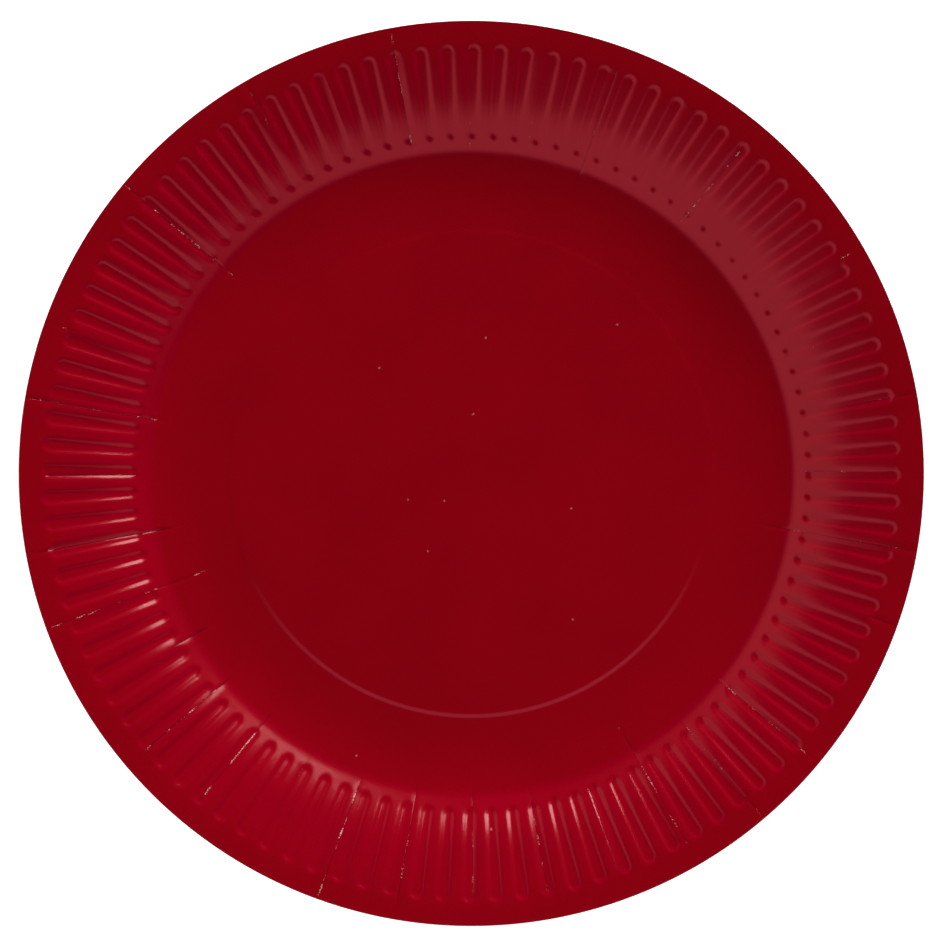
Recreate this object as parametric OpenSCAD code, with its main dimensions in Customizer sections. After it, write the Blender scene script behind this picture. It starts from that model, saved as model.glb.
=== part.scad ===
// Stack of round pressed board plates with a fluted wall and a flat brim.
// The origin is at the middle of the stack's underside, with +Z up.

/* [Stack] */
// Number of plates, nested one in the other
plate_count = 6; // [2:1:6]
// Height that each further plate adds to the stack
nest_pitch = 1; // [0.95:0.05:1.5]

/* [Plate] */
// Diameter across the brim
plate_d = 230; // [224:1:240]
// Height of one plate, from its underside to the top of its brim
plate_h = 12; // [11:0.5:14]
// Thickness of the board
board_t = 0.42; // [0.36:0.02:0.46]
// Width of the flat brim
brim_w = 6; // [5:0.5:8]
// Width of the sloping wall with both of its bends, seen from above
wall_w = 29; // [28:0.5:32]
// Radius of the bend between floor and wall, where the wall is wide enough
foot_r = 7; // [6:0.5:9]
// Radius of the shoulder between wall and brim, where the wall is wide enough
shoulder_r = 33; // [26:1:36]

/* [Floor] */
// Distance from the foot of the wall to the embossed ring round the floor's raised middle
ring_gap = 18; // [8:0.5:30]
// Width of the ring's slope
ring_w = 1.2; // [1:0.1:2]
// Height by which the middle of the floor stands above its edge
disc_rise = 0.4; // [0.2:0.05:0.6]

/* [Flutes] */
// Number of flutes pressed into the wall
flute_count = 100; // [60:1:100]
// Distance from the foot of the wall to the flutes' first full width
flute_start = 6.5; // [6:0.25:8]
// Distance from the flutes' upper ends to the brim
flute_stop = 1; // [0.75:0.25:3]
// Depth of a flute where it has its first full width
flute_low_depth = 0.35; // [0.3:0.05:0.5]
// Depth of a flute where its bottom bends
flute_mid_depth = 0.55; // [0.3:0.05:0.7]
// Depth of a flute at its upper end
flute_top_depth = 0.65; // [0.5:0.05:0.9]
// Slope of a flute's two flanks
flank_slope = 32; // [28:1:38]
// Slope of the short ramp at a flute's upper end
ramp_slope = 52; // [45:1:55]

/* [Hidden] */
$fn = 200;
plate_names = [for (i = [1:plate_count]) str("plate_0", i)];

// Flat facets along the foot bend and along the shoulder
foot_steps = 3;
shoulder_steps = 2;

// Heights of the V cutters for the wall and for the shoulder, clear of the face that they cut
wall_vee_h = 1.35;
shoulder_vee_h = 1.5;
// Share of the tightest fit that the wall's two bends may take up
bend_share = 0.97;
// Length by which a V cutter runs past both of its ends
vee_past = 3;
// Distance from the shoulder's foot to the bend in a flute's bottom
bend_step = 7.5;
// Height by which the ramp's cone rises above the brim
cone_over = 3;
// Overhang of one cutting block beyond the other
block_over = 1;

// Radii and heights of one plate's upper face
rim_x = plate_d / 2;
brim_x = rim_x - brim_w;
foot_x = brim_x - wall_w;
ring_x = foot_x - ring_gap;
floor_z = board_t;

// Both bends, drawn in where the wall would be too narrow for them
rise = plate_h - floor_z;
bends = foot_r + shoulder_r;
widest_bends = bend_share * (wall_w * wall_w + rise * rise) / (2 * rise);
fit = min(1, widest_bends / bends);
foot_bend = foot_r * fit;
shoulder_bend = shoulder_r * fit;

// Slope of the wall, the line that touches both bends
lift = rise - foot_bend - shoulder_bend;
wall_slope = atan2(lift, wall_w) + asin((foot_bend + shoulder_bend) / norm([wall_w, lift]));

// Points of the upper face, or of a face that lies off below it
function foot_point(a, off) =
    [foot_x + (foot_bend + off) * sin(a), floor_z + foot_bend - (foot_bend + off) * cos(a)];
function shoulder_point(a, off) =
    [brim_x - (shoulder_bend - off) * sin(a),
     plate_h - shoulder_bend + (shoulder_bend - off) * cos(a)];

// Where the flutes start, bend and stop
start_x = foot_x + flute_start;
bend_x = shoulder_point(wall_slope, 0)[0] + bend_step;
stop_x = brim_x - flute_stop;

// Height of the upper face at distance x from the axis
function land_z(x) =
    x < shoulder_point(wall_slope, 0)[0]
        ? foot_point(wall_slope, 0)[1] + (x - foot_point(wall_slope, 0)[0]) * tan(wall_slope)
        : plate_h - shoulder_bend + sqrt(shoulder_bend * shoulder_bend - (brim_x - x) * (brim_x - x));

start = [start_x, land_z(start_x) - flute_low_depth];
bend = [bend_x, land_z(bend_x) - flute_mid_depth];
stop = [stop_x, land_z(stop_x) - flute_top_depth];

// Depth of the block that is cut to make the thin board
depth = 4;

// Section of everything under the face that lies off below the upper face
module under(off, x_end, z_end) {
    polygon(concat(
        [
            [0, z_end],
            [0, floor_z + disc_rise - off],
            [ring_x - ring_w / 2, floor_z + disc_rise - off],
            [ring_x + ring_w / 2, floor_z - off]
        ],
        [for (i = [0:foot_steps]) foot_point(wall_slope * i / foot_steps, off)],
        [for (i = [0:shoulder_steps]) shoulder_point(wall_slope * (1 - i / shoulder_steps), off)],
        [[x_end, plate_h - off], [x_end, z_end]]
    ));
}

// Straight V groove, high in section, whose bottom runs from a to b and a little past both
module vee(a, b, high, off) {
    low = -off / cos(flank_slope);
    half = high / tan(flank_slope);
    translate([a[0], 0, a[1]])
        rotate([0, -atan2(b[1] - a[1], b[0] - a[0]), 0])
            rotate([90, 0, 90])
                translate([0, 0, -vee_past])
                    linear_extrude(height = norm(b - a) + 2 * vee_past)
                        polygon([[0, low], [half, low + high], [-half, low + high]]);
}

// All the flutes, off larger all round
module flutes(off) {
    ramp_x = stop[0] + off / sin(ramp_slope);
    low_z = start[1] - off;
    top_z = plate_h + cone_over;
    intersection() {
        for (i = [0:flute_count - 1])
            rotate([0, 0, i * 360 / flute_count]) {
                vee(start, bend, wall_vee_h, off);
                vee(bend, stop, shoulder_vee_h, off);
            }
        translate([0, 0, low_z])
            cylinder(
                r1 = ramp_x - (stop[1] - low_z) / tan(ramp_slope),
                r2 = ramp_x + (top_z - stop[1]) / tan(ramp_slope),
                h = top_z - low_z
            );
    }
}

// One plate of bent board, standing on its floor's edge
module plate() {
    difference() {
        rotate_extrude() under(0, rim_x, -depth);
        difference() {
            rotate_extrude() under(board_t, rim_x + block_over, -depth - block_over);
            flutes(board_t);
        }
        flutes(0);
    }
}

for (i = [0:plate_count - 1])
    color("#8c000f") translate([0, 0, i * nest_pitch]) plate();
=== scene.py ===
"""A stack of fluted plates, pressed from red gloss board, on a pale studio floor."""

import math
import random

import bmesh
import bpy
from bpy.props import (
    FloatProperty,
    FloatVectorProperty,
    IntProperty,
    PointerProperty,
)
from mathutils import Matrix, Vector, noise


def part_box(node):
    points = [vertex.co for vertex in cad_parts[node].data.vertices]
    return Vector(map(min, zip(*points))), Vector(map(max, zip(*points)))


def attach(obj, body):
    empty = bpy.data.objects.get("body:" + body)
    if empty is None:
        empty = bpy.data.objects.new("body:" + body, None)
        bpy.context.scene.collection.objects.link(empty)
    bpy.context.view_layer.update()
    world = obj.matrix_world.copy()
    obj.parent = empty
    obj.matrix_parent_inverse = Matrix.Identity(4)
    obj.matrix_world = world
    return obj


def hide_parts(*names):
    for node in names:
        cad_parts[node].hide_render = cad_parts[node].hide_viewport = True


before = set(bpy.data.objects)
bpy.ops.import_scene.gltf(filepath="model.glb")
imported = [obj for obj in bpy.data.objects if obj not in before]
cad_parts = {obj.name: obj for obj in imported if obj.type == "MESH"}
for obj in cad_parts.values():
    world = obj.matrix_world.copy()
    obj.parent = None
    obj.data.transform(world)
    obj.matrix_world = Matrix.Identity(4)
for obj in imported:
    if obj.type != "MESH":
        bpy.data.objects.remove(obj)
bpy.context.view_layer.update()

bl_info = {
    "name": "Pressed board plates",
    "version": (1, 0, 0),
    "blender": (4, 5, 0),
    "location": "3D View > Sidebar > Plates",
    "description": "Models a nested stack of fluted board plates and the studio that it stands in",
    "category": "Add Mesh",
}

NODES = sorted(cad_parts)
first_low, first_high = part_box(NODES[0])
second_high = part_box(NODES[1])[1]
MM = 0.001

# Width of the picture in pixels, and what one pixel covers at the brim
PICTURE_WIDTH = 945
PIXEL = 0.254 * MM

# The pleats from +X round: depth as a part of a deep pleat's and share of cracks,
# then the radii in millimetres at which the pleat starts and ends
PLEATS = (
    (0.5, 0.6, 83, 100), (0.6, 0.1, 100, 115), (0.2, 0.1, 80, 100), (0.3, 0.8, 107, 111),
    (0.1, 0.1, 82, 90), (0.4, 0.8, 83, 110), (0.1, 0.1, 82, 90), (0.9, 0.1, 79, 110),
    (0.1, 0.1, 84, 95), (0.1, 0.2, 82, 90), (0.5, 0.6, 84, 114), (0.1, 0.1, 82, 95),
    (0.6, 0.2, 98, 114), (0.1, 0.1, 82, 90), (0.6, 0.6, 77, 114), (0.1, 0.1, 82, 90),
    (0.4, 0.2, 105, 112), (0.8, 0.5, 80, 114), (1.0, 0.2, 84, 109), (1.2, 0.4, 78, 111),
    (0.4, 0.7, 72, 114), (0.8, 0.1, 77, 88), (0.9, 0.9, 80, 109), (0.5, 0.8, 79, 110),
    (0.2, 0.1, 80, 90), (0.5, 1.0, 82, 114), (0.5, 0.3, 80, 112), (0.4, 0.3, 80, 108),
    (0.4, 0.4, 80, 109), (0.4, 0.5, 84, 110), (0.5, 0.6, 76, 110), (0.4, 0.3, 82, 114),
    (0.6, 0.7, 80, 112), (0.1, 0.1, 82, 90), (0.5, 0.1, 106, 115), (0.6, 0.3, 76, 114),
)
# Length over which a pleat deepens from its inner end, and over which it fades to its outer one
PLEAT_IN = 3 * MM
PLEAT_OUT = 2 * MM

# Small chips in the gloss film: their places right of and above the plate's middle, in millimetres
CHIPS = (
    (3.5, 34.6), (37.0, 38.2), (-23.7, 26.8), (0.4, 15.1), (-6.9, -7.0), (-16.1, -6.8),
    (25.6, -8.8), (-11.0, -20.0), (26.1, -37.2), (-29.0, -72.3), (5.5, -90.6), (-83.1, -33.9),
)

# Slow warp of a pressed plate and the fine ripple on it: heights, and waves to the metre
WARP = 0.04 * MM
WARP_WAVES = 30
RIPPLE = 0.012 * MM
RIPPLE_WAVES = 140

# Distance within which two points are the same
TOUCH = 0.001 * MM

# Waves to the metre in the patterns of the printed face, the bare board and the floor
CLOUDS = 45
FIBRES = 2500
DIMPLES = 1300
GRIT = 3800
PATCHES = 240
BARE_FIBRES = 1800
FLOOR_CLOUDS = 40

# Distances from its middle at which each line or spot starts to fade, and is gone
# The fold line is painted shade, a dark line along the bottom of each pleat
FOLD_SHADE_LINE = (0.05 * MM, 0.22 * MM)
CRACK_LINE = (0.06 * MM, 0.3 * MM)
# The ring line is a painted highlight along one side of the embossed ring
RING_HIGHLIGHT_LINE = (0.15 * MM, 0.75 * MM)
CHIP_SPOT = (0.65 * MM, 0.9 * MM)

# Most by which the grit eats into a chip
CHIP_RAGGED = 1.2 * MM


def length(name, description, default, **more):
    """A size in metres."""
    return FloatProperty(
        name=name,
        description=description,
        default=default,
        unit="LENGTH",
        precision=5,
        **more,
    )


def degrees(name, description, default):
    """An angle, given in degrees."""
    return FloatProperty(
        name=name, description=description, default=math.radians(default), unit="ROTATION"
    )


def number(name, description, default):
    """A plain number."""
    return FloatProperty(name=name, description=description, default=default)


def colour(name, description, default):
    """A linear colour."""
    return FloatVectorProperty(
        name=name, description=description, default=default, subtype="COLOR", min=0, max=1, size=3
    )


class PlateForm(bpy.types.PropertyGroup):
    """Sizes of one pressed plate and of the stack."""

    rim_radius: length("Rim radius", "Radius to the cut edge of the brim", first_high.x)
    height: length("Height", "Height of one plate", first_high.z - first_low.z)
    pitch: length("Pitch", "Height that each further plate adds", second_high.z - first_high.z)
    board: length("Board", "Thickness of the board", 0.42 * MM)
    brim: length("Brim", "Width of the nearly flat brim", 6 * MM)
    foot_start: length("Foot start", "Radius at which the floor starts to rise", 68 * MM)
    foot: length("Foot", "Radius at which the gentle rise turns into the foot's bend", 80.5 * MM)
    foot_tilt: degrees("Foot tilt", "Tilt of the face at the foot", 10)
    wall_low: length("Wall's foot", "Radius at which the wall is at its steepest", 83.8 * MM)
    wall_high: length("Wall's head", "Radius at which the wall starts to level out", 86.2 * MM)
    wall_tilt: degrees("Wall tilt", "Tilt of the wall at its steepest", 29.8)
    shoulder: length("Shoulder", "Radius at which the wall has turned into the shoulder", 99 * MM)
    shoulder_tilt: degrees("Shoulder tilt", "Tilt of the shoulder where it starts", 16)
    brim_tilt: degrees("Brim tilt", "Tilt of the brim", 6)
    brim_blend: length("Brim blend", "Width of the brim over which it reaches its tilt", 2 * MM)
    ring_radius: length("Ring radius", "Radius of the embossed ring in the floor", 62 * MM)
    ring_width: length("Ring width", "Width of the slope of the embossed ring", 1.6 * MM)
    disc_rise: length("Disc rise", "Height by which the floor inside the ring is raised", 0.1 * MM)


class FluteForm(bpy.types.PropertyGroup):
    """Sizes of the flutes that are pressed down into the wall."""

    count: IntProperty(name="Count", description="Number of flutes round the plate", default=100)
    turn: degrees("Turn", "Angle from +X to the middle of the first flute", 0)
    start: length("Start", "Radius at which the flutes start", 84.8 * MM)
    stop: length("Stop", "Radius at which the flutes end", 109.4 * MM)
    start_width: length("Start width", "Width of a flute at its lower end", 3.8 * MM)
    stop_width: length("Stop width", "Width of a flute at its upper end", 4.4 * MM)
    start_depth: length("Start depth", "Depth of a flute at its lower end", 0.48 * MM)
    stop_depth: length("Stop depth", "Depth of a flute at its upper end", 0.38 * MM)
    start_ramp: length("Start ramp", "Length over which a flute reaches its depth", 2.6 * MM)
    start_flank: number("Start flank", "Share of the width that slopes, at the lower end", 0.8)
    stop_flank: number("Stop flank", "Share of the width that slopes, at the upper end", 0.56)
    uneven: number("Uneven", "Share by which the flutes' depth varies", 0.15)


class PleatForm(bpy.types.PropertyGroup):
    """Sizes of the fine creases in which the board gathers as it is pressed."""

    turn: degrees("Turn", "Angle from +X to the first pleat", 0.5)
    jitter: degrees("Jitter", "Largest angle by which a pleat is off its even place", 0.15)
    width: length("Width", "Width of a pleat", 0.5 * MM)
    depth: length("Depth", "Depth of a deep pleat", 0.13 * MM)


class BoardFinish(bpy.types.PropertyGroup):
    """Colours and gloss of the board."""

    ink: colour("Ink", "Colour of the printed face", (0.22, 0.0, 0.0045))
    ink_dark: colour("Dark ink", "Colour of the printed face in its darker clouds", (0.206, 0.0, 0.0042))
    # Painted shade: the dark colour of the line along the bottom of each pleat, where the crease falls into
    # shadow
    painted_fold_shade: colour("Ink in the folds", "Colour along the bottom of a pleat", (0.04, 0.0, 0.001))
    # Painted highlight: a brighter, pinker line along one side of the ring, and the side it lies on
    painted_highlight: colour("Rubbed ink", "Colour along the rubbed part of the ring", (0.3, 0.014, 0.026))
    highlight_azimuth: degrees("Rubbed azimuth", "Direction of the rubbed part of the ring, from +X", 272)
    gloss: colour("Gloss", "Tint of the reflections in the gloss film", (1.0, 0.6, 0.6))
    core: colour("Core", "Colour of the bare board inside", (0.66, 0.42, 0.38))
    raw: colour("Raw board", "Colour of the uncoated underside", (0.72, 0.69, 0.64))
    raw_dark: colour("Dark raw board", "Colour of the darker fibres in it", (0.5, 0.46, 0.4))
    roughness: FloatProperty(
        name="Roughness", description="Roughness of the gloss face", default=0.19, subtype="FACTOR"
    )
    raw_roughness: FloatProperty(
        name="Raw roughness", description="Roughness of the bare board", default=0.85, subtype="FACTOR"
    )


class StudioForm(bpy.types.PropertyGroup):
    """Place of the camera, the lights and the floor."""

    camera_distance: length("Camera distance", "Height of the camera above the brim", 2.0)
    view_width: length("View width", "Width of the view at the brim", PICTURE_WIDTH * PIXEL)
    camera_x: length("Camera right", "Camera's place right of the plates' middle", 0.3 * MM)
    camera_y: length("Camera up", "Camera's place above the plates' middle in the picture", 0.23 * MM)
    camera_roll: degrees("Camera roll", "Turn of the camera about its own axis", 0.3)
    key_azimuth: degrees("Key azimuth", "Direction of the key light, from +X", 62)
    key_elevation: degrees("Key elevation", "Height of the key light above the horizon", 17)
    key_distance: length("Key distance", "Distance of the key light", 5)
    key_size: length("Key size", "Diameter of the key light", 2.5)
    key_power: number("Key power", "Power of the key light", 488)
    card_azimuth: degrees("Card azimuth", "Direction of the bright card in the gloss, from +X", 59)
    card_elevation: degrees("Card elevation", "Height of the card above the horizon", 22.5)
    card_distance: length("Card distance", "Distance of the card", 1.2)
    card_size: length("Card size", "Diameter of the card", 0.6)
    card_power: number("Card power", "Power of the card", 8.5)
    top_azimuth: degrees("Top azimuth", "Direction of the overhead light, from +X", 242)
    top_elevation: degrees("Top elevation", "Height of the overhead light above the horizon", 72)
    top_distance: length("Top distance", "Distance of the overhead light", 1.6)
    top_size: length("Top size", "Diameter of the overhead light", 1.4)
    top_power: number("Top power", "Power of the overhead light", 16)
    room_light: number("Room light", "Strength of the light that the room gives", 2.8)
    glow_colour: colour("Glow colour", "Colour of the wide soft glow", (1.0, 0.22, 0.3))
    glow_azimuth: degrees("Glow azimuth", "Direction of the wide soft glow, from +X", 226)
    glow_lean: number("Glow lean", "How far the glow leans to its own side", 0.45)
    dusk: colour("Dusk", "Colour of the room outside the glow", (0.006, 0.001, 0.05))
    haze: colour("Haze", "Colour of the room near the horizon", (0.1, 0.08, 0.08))
    still: colour("Still", "Colour of the room straight overhead and on matt faces", (0.01, 0.01, 0.01))
    floor_reach: length("Floor reach", "Distance from the middle to the floor's edges", 1.8)
    floor_light: number("Floor light", "Light that the floor adds for the camera alone", 0.7)


def ease(t):
    """A smooth step from 0 to 1."""
    t = min(1, max(0, t))
    return 0.5 - 0.5 * math.cos(math.pi * t)


def between(first, second, share):
    """The value a given share of the way from the first to the second."""
    return first + (second - first) * share


def face_tilt(plate, x):
    """Upward tilt of the face beyond the foot's start, before it is fitted to the plate's height."""
    brim_x = plate.rim_radius - plate.brim
    if x < plate.foot:
        return plate.foot_tilt * (x - plate.foot_start) / (plate.foot - plate.foot_start)
    if x < plate.wall_high:
        t = (x - plate.foot) / (plate.wall_low - plate.foot)
        return between(plate.foot_tilt, plate.wall_tilt, ease(t))
    if x < plate.shoulder:
        t = (x - plate.wall_high) / (plate.shoulder - plate.wall_high)
        return between(plate.wall_tilt, plate.shoulder_tilt, ease(t))
    t = min(1, (x - plate.shoulder) / (brim_x + plate.brim_blend - plate.shoulder))
    return between(plate.shoulder_tilt, plate.brim_tilt, t * t)


def face_height(plate, x):
    """Height and slope of the plate's upper face at distance x from the axis, between the flutes."""
    if x < plate.foot_start:
        t = min(1, max(0, (plate.ring_radius - x) / plate.ring_width + 0.5))
        drop = math.atan(plate.disc_rise * math.pi / 2 * math.sin(math.pi * t) / plate.ring_width)
        return plate.board + plate.disc_rise * ease(t), -drop
    steps = 500
    step = (plate.rim_radius - plate.foot_start) / steps
    slopes = [math.tan(face_tilt(plate, plate.foot_start + (i + 0.5) * step)) for i in range(steps)]
    share = (plate.height - plate.board) / (step * sum(slopes))
    done = (x - plate.foot_start) / step
    whole = min(int(done), steps - 1)
    rise = share * step * (sum(slopes[:whole]) + (done - whole) * slopes[whole])
    return plate.board + rise, math.atan(share * slopes[whole])


def face_radii(plate, flute, fine):
    """Distances from the axis at which the plate's face has a ring of vertices."""
    half = plate.ring_width / 2
    margin = 0.2 * MM
    ramp_end = flute.start + 2.8 * MM
    tip_start = flute.stop - 4 * MM
    # Where each stretch starts, and its number of rings
    stretches = (
        (plate.ring_radius / 2, 1),
        (plate.ring_radius - half, round(5 * fine)),
        (plate.ring_radius + half, 1),
        (plate.foot_start, round(4 * fine)),
        (plate.foot, round(7 * fine)),
        (flute.start - margin, round(7 * fine)),
        (ramp_end, round(7 * fine)),
        (tip_start, round(8 * fine)),
        (flute.stop + margin, round(2 * fine)),
        (plate.rim_radius, 0),
    )
    radii = []
    for (start, count), (stop, _) in zip(stretches, stretches[1:]):
        radii += [start + (stop - start) * i / count for i in range(count)]
    return radii


def section(bm, plate, flute, fine, fine_under):
    """Draws the section of a plate as a chain of edges, from its face's middle round to its underside's."""
    middle = face_height(plate, 0)[0]
    tip = bm.verts.new((0, 0, middle))

    def draw_to(x, z):
        nonlocal tip
        tip = bmesh.ops.extrude_vert_indiv(bm, verts=[tip])["verts"][0]
        tip.co = (x, 0, z)

    for x in face_radii(plate, flute, fine):
        draw_to(x, face_height(plate, x)[0])
    arris = 0.05 * MM
    draw_to(plate.rim_radius - arris, plate.height)
    draw_to(plate.rim_radius, plate.height - arris)
    draw_to(plate.rim_radius, plate.height - plate.board + arris)
    draw_to(plate.rim_radius - arris, plate.height - plate.board)
    for x in reversed(face_radii(plate, flute, fine_under)):
        z, slope = face_height(plate, x)
        draw_to(x + plate.board * math.sin(slope), z - plate.board * math.cos(slope))
    draw_to(0, middle - plate.board)


def turn_round(bm, columns):
    """Turns the section into a narrow sector, then lays ten of those side by side, and ten of the tens."""
    about = {"axis": (0, 0, 1), "cent": (0, 0, 0)}
    copies = 10
    sectors = copies * copies
    angle = 2 * math.pi / sectors
    bmesh.ops.spin(bm, geom=bm.verts[:] + bm.edges[:], angle=angle, steps=columns // sectors, **about)
    for _ in range(2):
        sector = bm.verts[:] + bm.edges[:] + bm.faces[:]
        more = copies - 1
        bmesh.ops.spin(bm, geom=sector, angle=more * angle, steps=more, use_duplicate=True, **about)
        angle *= copies
    bmesh.ops.remove_doubles(bm, verts=bm.verts, dist=TOUCH)


def pleat_angles(pleat, seed):
    """Angle of each pleat, a little off its even place."""
    draw = random.Random(seed)
    step = 2 * math.pi / len(PLEATS)
    return [pleat.turn + i * step + draw.uniform(-pleat.jitter, pleat.jitter) for i in range(len(PLEATS))]


def column_angles(columns, flute, pleat, pleats):
    """Angle of each radial row of vertices: closer in the flutes, and five on each pleat."""
    step = 2 * math.pi / columns
    pitch = 2 * math.pi / flute.count
    crowding = 0.35
    angles = []
    for i in range(columns):
        a = i * step
        angles.append(a - crowding * pitch / (2 * math.pi) * math.sin(2 * math.pi * (a - flute.turn) / pitch))
    edge = pleat.width / 2 / flute.stop
    for a in pleats:
        near = min(range(columns), key=lambda i: abs(math.remainder(angles[i] - a, 2 * math.pi)))
        for k in range(-2, 3):
            angles[(near + k) % columns] = a + k * edge / 2
    return angles


def flute_depth(flute, r, angle, seed):
    """Depth of the flutes at a place on the plate."""
    pitch = 2 * math.pi / flute.count
    off = math.remainder(angle - flute.turn, pitch)
    along = r * math.cos(off)
    across = abs(r * math.sin(off))
    start = flute.start + flute.start_ramp
    stop = flute.stop - flute.stop_width / 2
    t = min(1, max(0, (along - start) / (stop - start)))
    half = between(flute.start_width, flute.stop_width, t) / 2
    flank = between(flute.start_flank, flute.stop_flank, t)
    # Each flute has its own place in the noise
    which = round((angle - off - flute.turn) / pitch) % flute.count
    depth = between(flute.start_depth, flute.stop_depth, t)
    depth *= 1 + flute.uneven * noise.noise(Vector((which * 0.7, seed, 0.5)))
    beyond = max((start - along) * half / flute.start_ramp, along - stop, 0)
    return depth * ease((1 - math.hypot(beyond, across) / half) / flank)


def press(bm, plate, flute, pleat, columns, seed):
    """Presses the flutes and pleats into a turned plate, and notes how far each vertex is from a pleat."""
    pleats = pleat_angles(pleat, seed)
    angles = column_angles(columns, flute, pleat, pleats)
    layers = bm.verts.layers.float
    crease, fold, crack = layers.new("crease"), layers.new("fold"), layers.new("crack")
    step = 2 * math.pi / columns
    for v in bm.verts:
        r = math.hypot(v.co.x, v.co.y)
        if r < TOUCH:
            v[crease] = 1
            continue
        angle = angles[round(math.atan2(v.co.y, v.co.x) / step) % columns]
        i = round((angle - pleat.turn) * len(pleats) / (2 * math.pi)) % len(pleats)
        deep, cracked, start, stop = PLEATS[(i + seed) % len(PLEATS)]
        gap = abs(math.remainder(angle - pleats[i], 2 * math.pi)) * r
        reach = ease((r - start * MM) / PLEAT_IN) * ease((stop * MM - r) / PLEAT_OUT)
        v[crease] = gap
        v[fold] = deep * reach
        v[crack] = cracked * reach
        z = v.co.z - flute_depth(flute, r, angle, seed)
        z -= pleat.depth * deep * reach * max(0, 1 - 2 * gap / pleat.width)
        place = Vector((math.cos(angle), math.sin(angle), 0)) * r
        z += WARP * noise.noise(place * WARP_WAVES + Vector((seed, 0, 0)))
        z += RIPPLE * noise.noise(place * RIPPLE_WAVES + Vector((0, seed, 0)))
        v.co = (place.x, place.y, z)


def turn_plate(name, plate, flute, pleat, columns, fine, fine_under, lift, seed):
    """Turns, presses and finishes one plate, and returns its object."""
    bm = bmesh.new()
    section(bm, plate, flute, fine, fine_under)
    turn_round(bm, columns)
    press(bm, plate, flute, pleat, columns, seed)
    bmesh.ops.recalc_face_normals(bm, faces=bm.faces)
    bmesh.ops.translate(bm, verts=bm.verts, vec=(0, 0, lift))
    # The printed face is what points up, and the rest is bare board
    upward = 0.3
    for face in bm.faces:
        face.smooth = True
        face.material_index = 0 if face.normal.z > upward else 1
    # Only the edges of the cut rim are sharp
    rim = plate.rim_radius - 0.1 * MM
    sharp = math.radians(30)
    for edge in bm.edges:
        inside = min(v.co.xy.length for v in edge.verts) < rim
        edge.smooth = inside or edge.calc_face_angle(0) < sharp
    mesh = bpy.data.meshes.new(name)
    bm.to_mesh(mesh)
    bm.free()
    piece = bpy.data.objects.new(name, mesh)
    bpy.context.scene.collection.objects.link(piece)
    return piece


class Nodes:
    """Short calls that add and join the nodes of one material or world."""

    def __init__(self, tree):
        self.tree = tree
        tree.nodes.clear()

    def add(self, kind, **values):
        """Adds a node, and sets each value on its setting or input of that name."""
        node = self.tree.nodes.new(kind)
        for name, value in values.items():
            if hasattr(node, name):
                setattr(node, name, value)
            else:
                self.feed(node.inputs[name.replace("_", " ")], value)
        return node

    def feed(self, socket, value):
        """Joins an output to a socket, or sets the socket's own value."""
        if isinstance(value, bpy.types.NodeSocket):
            self.tree.links.new(value, socket)
        else:
            socket.default_value = value

    def math(self, operation, *values):
        """Works on numbers."""
        node = self.add("ShaderNodeMath", operation=operation)
        for socket, value in zip(node.inputs, values):
            self.feed(socket, value)
        return node.outputs[0]

    def math_vector(self, operation, *values):
        """Works on vectors, and gives a number where the operation does."""
        node = self.add("ShaderNodeVectorMath", operation=operation)
        for socket, value in zip(node.inputs, values):
            self.feed(socket, value)
        scalar = operation in {"DISTANCE", "DOT_PRODUCT", "LENGTH"}
        return node.outputs["Value" if scalar else "Vector"]

    def ramp(self, value, low, high, to_low=0.0, to_high=1.0):
        """Eases from to_low to to_high as the value goes from low to high."""
        node = self.add("ShaderNodeMapRange", interpolation_type="SMOOTHSTEP")
        for socket, item in zip(node.inputs, (value, low, high, to_low, to_high)):
            self.feed(socket, item)
        return node.outputs[0]

    def mix(self, factor, first, second):
        """Mixes two colours."""
        node = self.add("ShaderNodeMix", data_type="RGBA")
        self.feed(node.inputs[0], factor)
        self.feed(node.inputs[6], first)
        self.feed(node.inputs[7], second)
        return node.outputs[2]

    def mix_shaders(self, factor, first, second):
        """Mixes two shaders."""
        node = self.add("ShaderNodeMixShader")
        self.feed(node.inputs[0], factor)
        self.feed(node.inputs[1], first.outputs[0])
        self.feed(node.inputs[2], second.outputs[0])
        return node

    def noise(self, place, waves, detail=2.0, roughness=0.5):
        """Noise with so many waves to the metre."""
        node = self.add("ShaderNodeTexNoise", Vector=place, Scale=waves, Detail=detail, Roughness=roughness)
        return node.outputs["Fac"]


def rgba(value):
    """A colour with full alpha."""
    return (*value, 1)


def new_material(name):
    """An empty material, with its nodes and its place on the object."""
    material = bpy.data.materials.new(name)
    material.use_nodes = True
    n = Nodes(material.node_tree)
    return material, n, n.add("ShaderNodeTexCoord").outputs["Object"]


def printed_ink(n, finish, place, crease, fold):
    """Ink with slow clouds and fine fibres, and a dark line of painted shade along each pleat."""
    fibre = n.noise(place, FIBRES, 3, 0.6)
    cloud = n.noise(place, CLOUDS, 2)
    ink = n.mix(n.ramp(cloud, 0.3, 0.7), rgba(finish.ink_dark), rgba(finish.ink))
    ink = n.mix(n.ramp(fibre, 0.35, 0.7, 0, 0.2), ink, rgba(finish.ink_dark))
    # Painted shade along each pleat, as strong as the pleat is deep
    line = n.math("MULTIPLY", n.ramp(crease, *FOLD_SHADE_LINE, 0.7, 0), fold)
    return n.mix(line, ink, rgba(finish.painted_fold_shade))


def painted_ring_highlight(n, finish, flat, ring_radius):
    """Share of painted highlight: a bright line along one side of the ring in the floor."""
    off = n.math("ABSOLUTE", n.math("SUBTRACT", n.math_vector("LENGTH", flat), ring_radius))
    towards = (math.cos(finish.highlight_azimuth), math.sin(finish.highlight_azimuth), 0)
    side = n.math_vector("DOT_PRODUCT", n.math_vector("NORMALIZE", flat), towards)
    return n.math("MULTIPLY", n.ramp(off, *RING_HIGHLIGHT_LINE, 0.9, 0), n.ramp(side, 0.3, 0.9))


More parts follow.
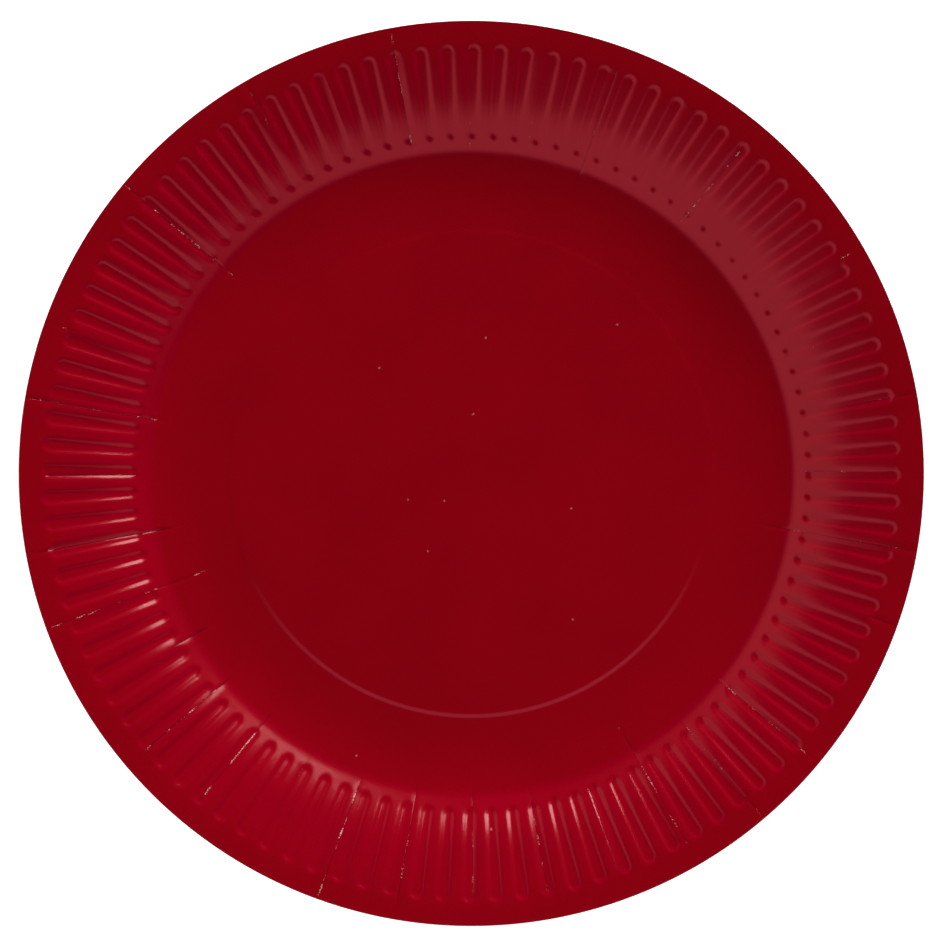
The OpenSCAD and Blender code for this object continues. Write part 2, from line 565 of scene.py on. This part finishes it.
def broken_film(n, place, flat, crease, crack):
    """Share to which the gloss film is broken, in cracks along the pleats and in small chips."""
    grit = n.noise(place, GRIT, 1)
    patches = n.noise(place, PATCHES, 1)
    near = n.math("MULTIPLY", n.ramp(crease, *CRACK_LINE, 1, 0), crack)
    level = n.math("MULTIPLY", grit, n.ramp(patches, 0.35, 0.6, 0.4, 1))
    level = n.math("ADD", level, n.math("MULTIPLY", near, 0.25))
    broken = n.math("MULTIPLY", n.ramp(level, 0.68, 0.78, 0, 0.7), n.ramp(near, 0, 0.1))
    for x, y in CHIPS:
        gap = n.math_vector("DISTANCE", flat, (x * MM, y * MM, 0))
        gap = n.math("ADD", gap, n.math("MULTIPLY", grit, CHIP_RAGGED))
        broken = n.math("MAXIMUM", broken, n.ramp(gap, *CHIP_SPOT, 0.3, 0))
    return broken


def gloss_board(finish, ring_radius):
    """Red printed board under a gloss film, cracked along the pleats, with painted shade along the pleats and
    a painted highlight along one side of the ring.
    """
    material, n, place = new_material("gloss_board")
    crease, fold, crack = [
        n.add("ShaderNodeAttribute", attribute_name=name).outputs["Fac"]
        for name in ("crease", "fold", "crack")
    ]
    flat = n.math_vector("MULTIPLY", place, (1, 1, 0))
    ink = printed_ink(n, finish, place, crease, fold)
    # Painted highlight along one side of the ring
    ink = n.mix(painted_ring_highlight(n, finish, flat, ring_radius), ink, rgba(finish.painted_highlight))
    shade = n.mix(broken_film(n, place, flat, crease, crack), ink, rgba(finish.core))
    dimples = n.noise(place, DIMPLES, 3, 0.6)
    bump = n.add("ShaderNodeBump", Strength=0.7, Distance=0.03 * MM, Height=dimples)
    shader = n.add(
        "ShaderNodeBsdfPrincipled",
        Base_Color=shade,
        Roughness=finish.roughness,
        Specular_Tint=rgba(finish.gloss),
        Normal=bump.outputs[0],
    )
    n.add("ShaderNodeOutputMaterial", Surface=shader.outputs[0])
    return material


def raw_board(finish):
    """Uncoated white board, for the underside and the cut edge."""
    material, n, place = new_material("raw_board")
    fibre = n.noise(place, BARE_FIBRES, 4, 0.65)
    shade = n.mix(n.ramp(fibre, 0.3, 0.75, 0, 0.35), rgba(finish.raw), rgba(finish.raw_dark))
    bump = n.add("ShaderNodeBump", Strength=0.4, Distance=0.03 * MM, Height=fibre)
    shader = n.add(
        "ShaderNodeBsdfPrincipled",
        Base_Color=shade,
        Roughness=finish.raw_roughness,
        Normal=bump.outputs[0],
    )
    n.add("ShaderNodeOutputMaterial", Surface=shader.outputs[0])
    return material


class PLATES_OT_stack(bpy.types.Operator):
    """Model every plate of the stack in place of its plain solid"""

    bl_idname = "plates.stack"
    bl_label = "Stack of plates"
    bl_options = {"REGISTER", "UNDO"}

    def execute(self, context):
        scene = context.scene
        plate = scene.plate_form
        finish = scene.board_finish
        materials = [gloss_board(finish, plate.ring_radius), raw_board(finish)]
        for i, node in enumerate(NODES):
            # The top plate shows its whole face, and gets the finer mesh
            over = len(NODES) - 1 - i
            piece = turn_plate(
                "pressed_" + node, plate, scene.flute_form, scene.pleat_form,
                columns=1000 if over else 1400,
                fine=0.6 if over else 1.0,
                fine_under=0.5,
                lift=i * plate.pitch,
                seed=7 * over,
            )
            for material in materials:
                piece.data.materials.append(material)
            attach(piece, "root")
            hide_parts(node)
        return {"FINISHED"}


def area_light(name, azimuth, elevation, distance, size, power):
    """A round area light that faces the middle of the plates."""
    data = bpy.data.lights.new(name, "AREA")
    data.shape = "DISK"
    data.size = size
    data.energy = power
    light = bpy.data.objects.new(name, data)
    towards = Vector((
        math.cos(azimuth) * math.cos(elevation), math.sin(azimuth) * math.cos(elevation), math.sin(elevation)
    ))
    light.location = towards * distance
    light.rotation_euler = towards.to_track_quat("Z", "Y").to_euler()
    light.visible_camera = False
    bpy.context.scene.collection.objects.link(light)
    return light


def studio_lights(studio):
    """A low key and a top light that only matt faces show, and a card that only gloss shows."""
    key = area_light(
        "key", studio.key_azimuth, studio.key_elevation,
        studio.key_distance, studio.key_size, studio.key_power,
    )
    card = area_light(
        "card", studio.card_azimuth, studio.card_elevation,
        studio.card_distance, studio.card_size, studio.card_power,
    )
    top = area_light(
        "top", studio.top_azimuth, studio.top_elevation,
        studio.top_distance, studio.top_size, studio.top_power,
    )
    card.visible_diffuse = False
    for light in (key, top):
        light.visible_glossy = False
        light.data.cycles.use_multiple_importance_sampling = False


def room_colour(n, studio):
    """What the gloss film mirrors: a glow low on one side, haze at the horizon and dusk overhead."""
    # Heights between which the haze ends and the dusk turns still, and the glow's soft edge
    horizon = (0.2, 0.45)
    overhead = (0.86, 0.96)
    glow_edge = (-0.8, -0.38)
    direction = n.add("ShaderNodeTexCoord").outputs["Generated"]
    x, y, z = n.add("ShaderNodeSeparateXYZ", Vector=direction).outputs
    side = n.math(
        "ADD",
        n.math("MULTIPLY", x, studio.glow_lean * math.cos(studio.glow_azimuth)),
        n.math("MULTIPLY", y, studio.glow_lean * math.sin(studio.glow_azimuth)),
    )
    dusk = n.mix(n.ramp(z, *overhead), rgba(studio.dusk), rgba(studio.still))
    glow = n.ramp(n.math("SUBTRACT", side, z), *glow_edge)
    shade = n.mix(glow, dusk, rgba(studio.glow_colour))
    return n.mix(n.ramp(z, *horizon), rgba(studio.haze), shade)


def studio_world(studio):
    """White to the camera, nearly dark to matt faces, and the soft colours of the room to gloss."""
    world = bpy.data.worlds.new("studio")
    world.use_nodes = True
    n = Nodes(world.node_tree)
    path = n.add("ShaderNodeLightPath")
    shade = n.mix(path.outputs["Is Glossy Ray"], rgba(studio.still), room_colour(n, studio))
    room = n.add("ShaderNodeBackground", Color=shade, Strength=studio.room_light)
    white = n.add("ShaderNodeBackground", Color=(1, 1, 1, 1), Strength=1.0)
    seen = n.mix_shaders(path.outputs["Is Camera Ray"], room, white)
    n.add("ShaderNodeOutputWorld", Surface=seen.outputs[0])
    bpy.context.scene.world = world


def pale_floor(studio):
    """Pale floor that shows white to the camera and keeps the soft shadow of the stack."""
    material, n, place = new_material("pale_floor")
    shade = n.mix(n.noise(place, FLOOR_CLOUDS, 3), (0.8, 0.8, 0.8, 1), (0.84, 0.84, 0.84, 1))
    matt = n.add("ShaderNodeBsdfDiffuse", Color=shade)
    lit = n.add("ShaderNodeEmission", Strength=studio.floor_light)
    both = n.add("ShaderNodeAddShader")
    n.feed(both.inputs[0], matt.outputs[0])
    n.feed(both.inputs[1], lit.outputs[0])
    path = n.add("ShaderNodeLightPath")
    seen = n.mix_shaders(path.outputs["Is Camera Ray"], matt, both)
    n.add("ShaderNodeOutputMaterial", Surface=seen.outputs[0])
    return material


def lay_floor(studio):
    """A square floor under the stack."""
    bm = bmesh.new()
    bmesh.ops.create_grid(bm, x_segments=8, y_segments=8, size=studio.floor_reach)
    mesh = bpy.data.meshes.new("floor")
    bm.to_mesh(mesh)
    bm.free()
    mesh.materials.append(pale_floor(studio))
    floor = bpy.data.objects.new("floor", mesh)
    bpy.context.scene.collection.objects.link(floor)


def set_camera(studio):
    """A camera straight above the stack, a hair off its middle."""
    scene = bpy.context.scene
    data = bpy.data.cameras.new("camera")
    data.sensor_width = 36
    data.lens = data.sensor_width * studio.camera_distance / studio.view_width
    data.clip_end = 20
    camera = bpy.data.objects.new("camera", data)
    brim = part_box(NODES[-1])[1].z
    camera.location = (studio.camera_x, studio.camera_y, brim + studio.camera_distance)
    camera.rotation_euler = (0, 0, studio.camera_roll)
    scene.collection.objects.link(camera)
    scene.camera = camera


class PLATES_OT_stage(bpy.types.Operator):
    """Set up the floor, the lights and the camera"""

    bl_idname = "plates.stage"
    bl_label = "Studio stage"
    bl_options = {"REGISTER", "UNDO"}

    def execute(self, context):
        studio = context.scene.studio_form
        lay_floor(studio)
        studio_lights(studio)
        studio_world(studio)
        set_camera(studio)
        context.scene.view_settings.view_transform = "Standard"
        return {"FINISHED"}


class PLATES_PT_panel(bpy.types.Panel):
    """Sizes, finishes and pieces of the stack"""

    bl_idname = "PLATES_PT_panel"
    bl_label = "Pressed board plates"
    bl_space_type = "VIEW_3D"
    bl_region_type = "UI"
    bl_category = "Plates"

    def draw(self, context):
        layout = self.layout
        for group, form in FORMS.items():
            box = layout.box()
            box.label(text=form.__name__)
            for name in form.__annotations__:
                box.prop(getattr(context.scene, group), name)
        layout.operator("plates.stack")
        layout.operator("plates.stage")


FORMS = {
    "plate_form": PlateForm,
    "flute_form": FluteForm,
    "pleat_form": PleatForm,
    "board_finish": BoardFinish,
    "studio_form": StudioForm,
}
CLASSES = (*FORMS.values(), PLATES_OT_stack, PLATES_OT_stage, PLATES_PT_panel)


def register():
    for cls in CLASSES:
        bpy.utils.register_class(cls)
    for name, form in FORMS.items():
        setattr(bpy.types.Scene, name, PointerProperty(type=form))


def unregister():
    for name in FORMS:
        delattr(bpy.types.Scene, name)
    for cls in reversed(CLASSES):
        bpy.utils.unregister_class(cls)


def main():
    register()
    bpy.ops.plates.stack()
    bpy.ops.plates.stage()


if __name__ == "__main__":
    main()
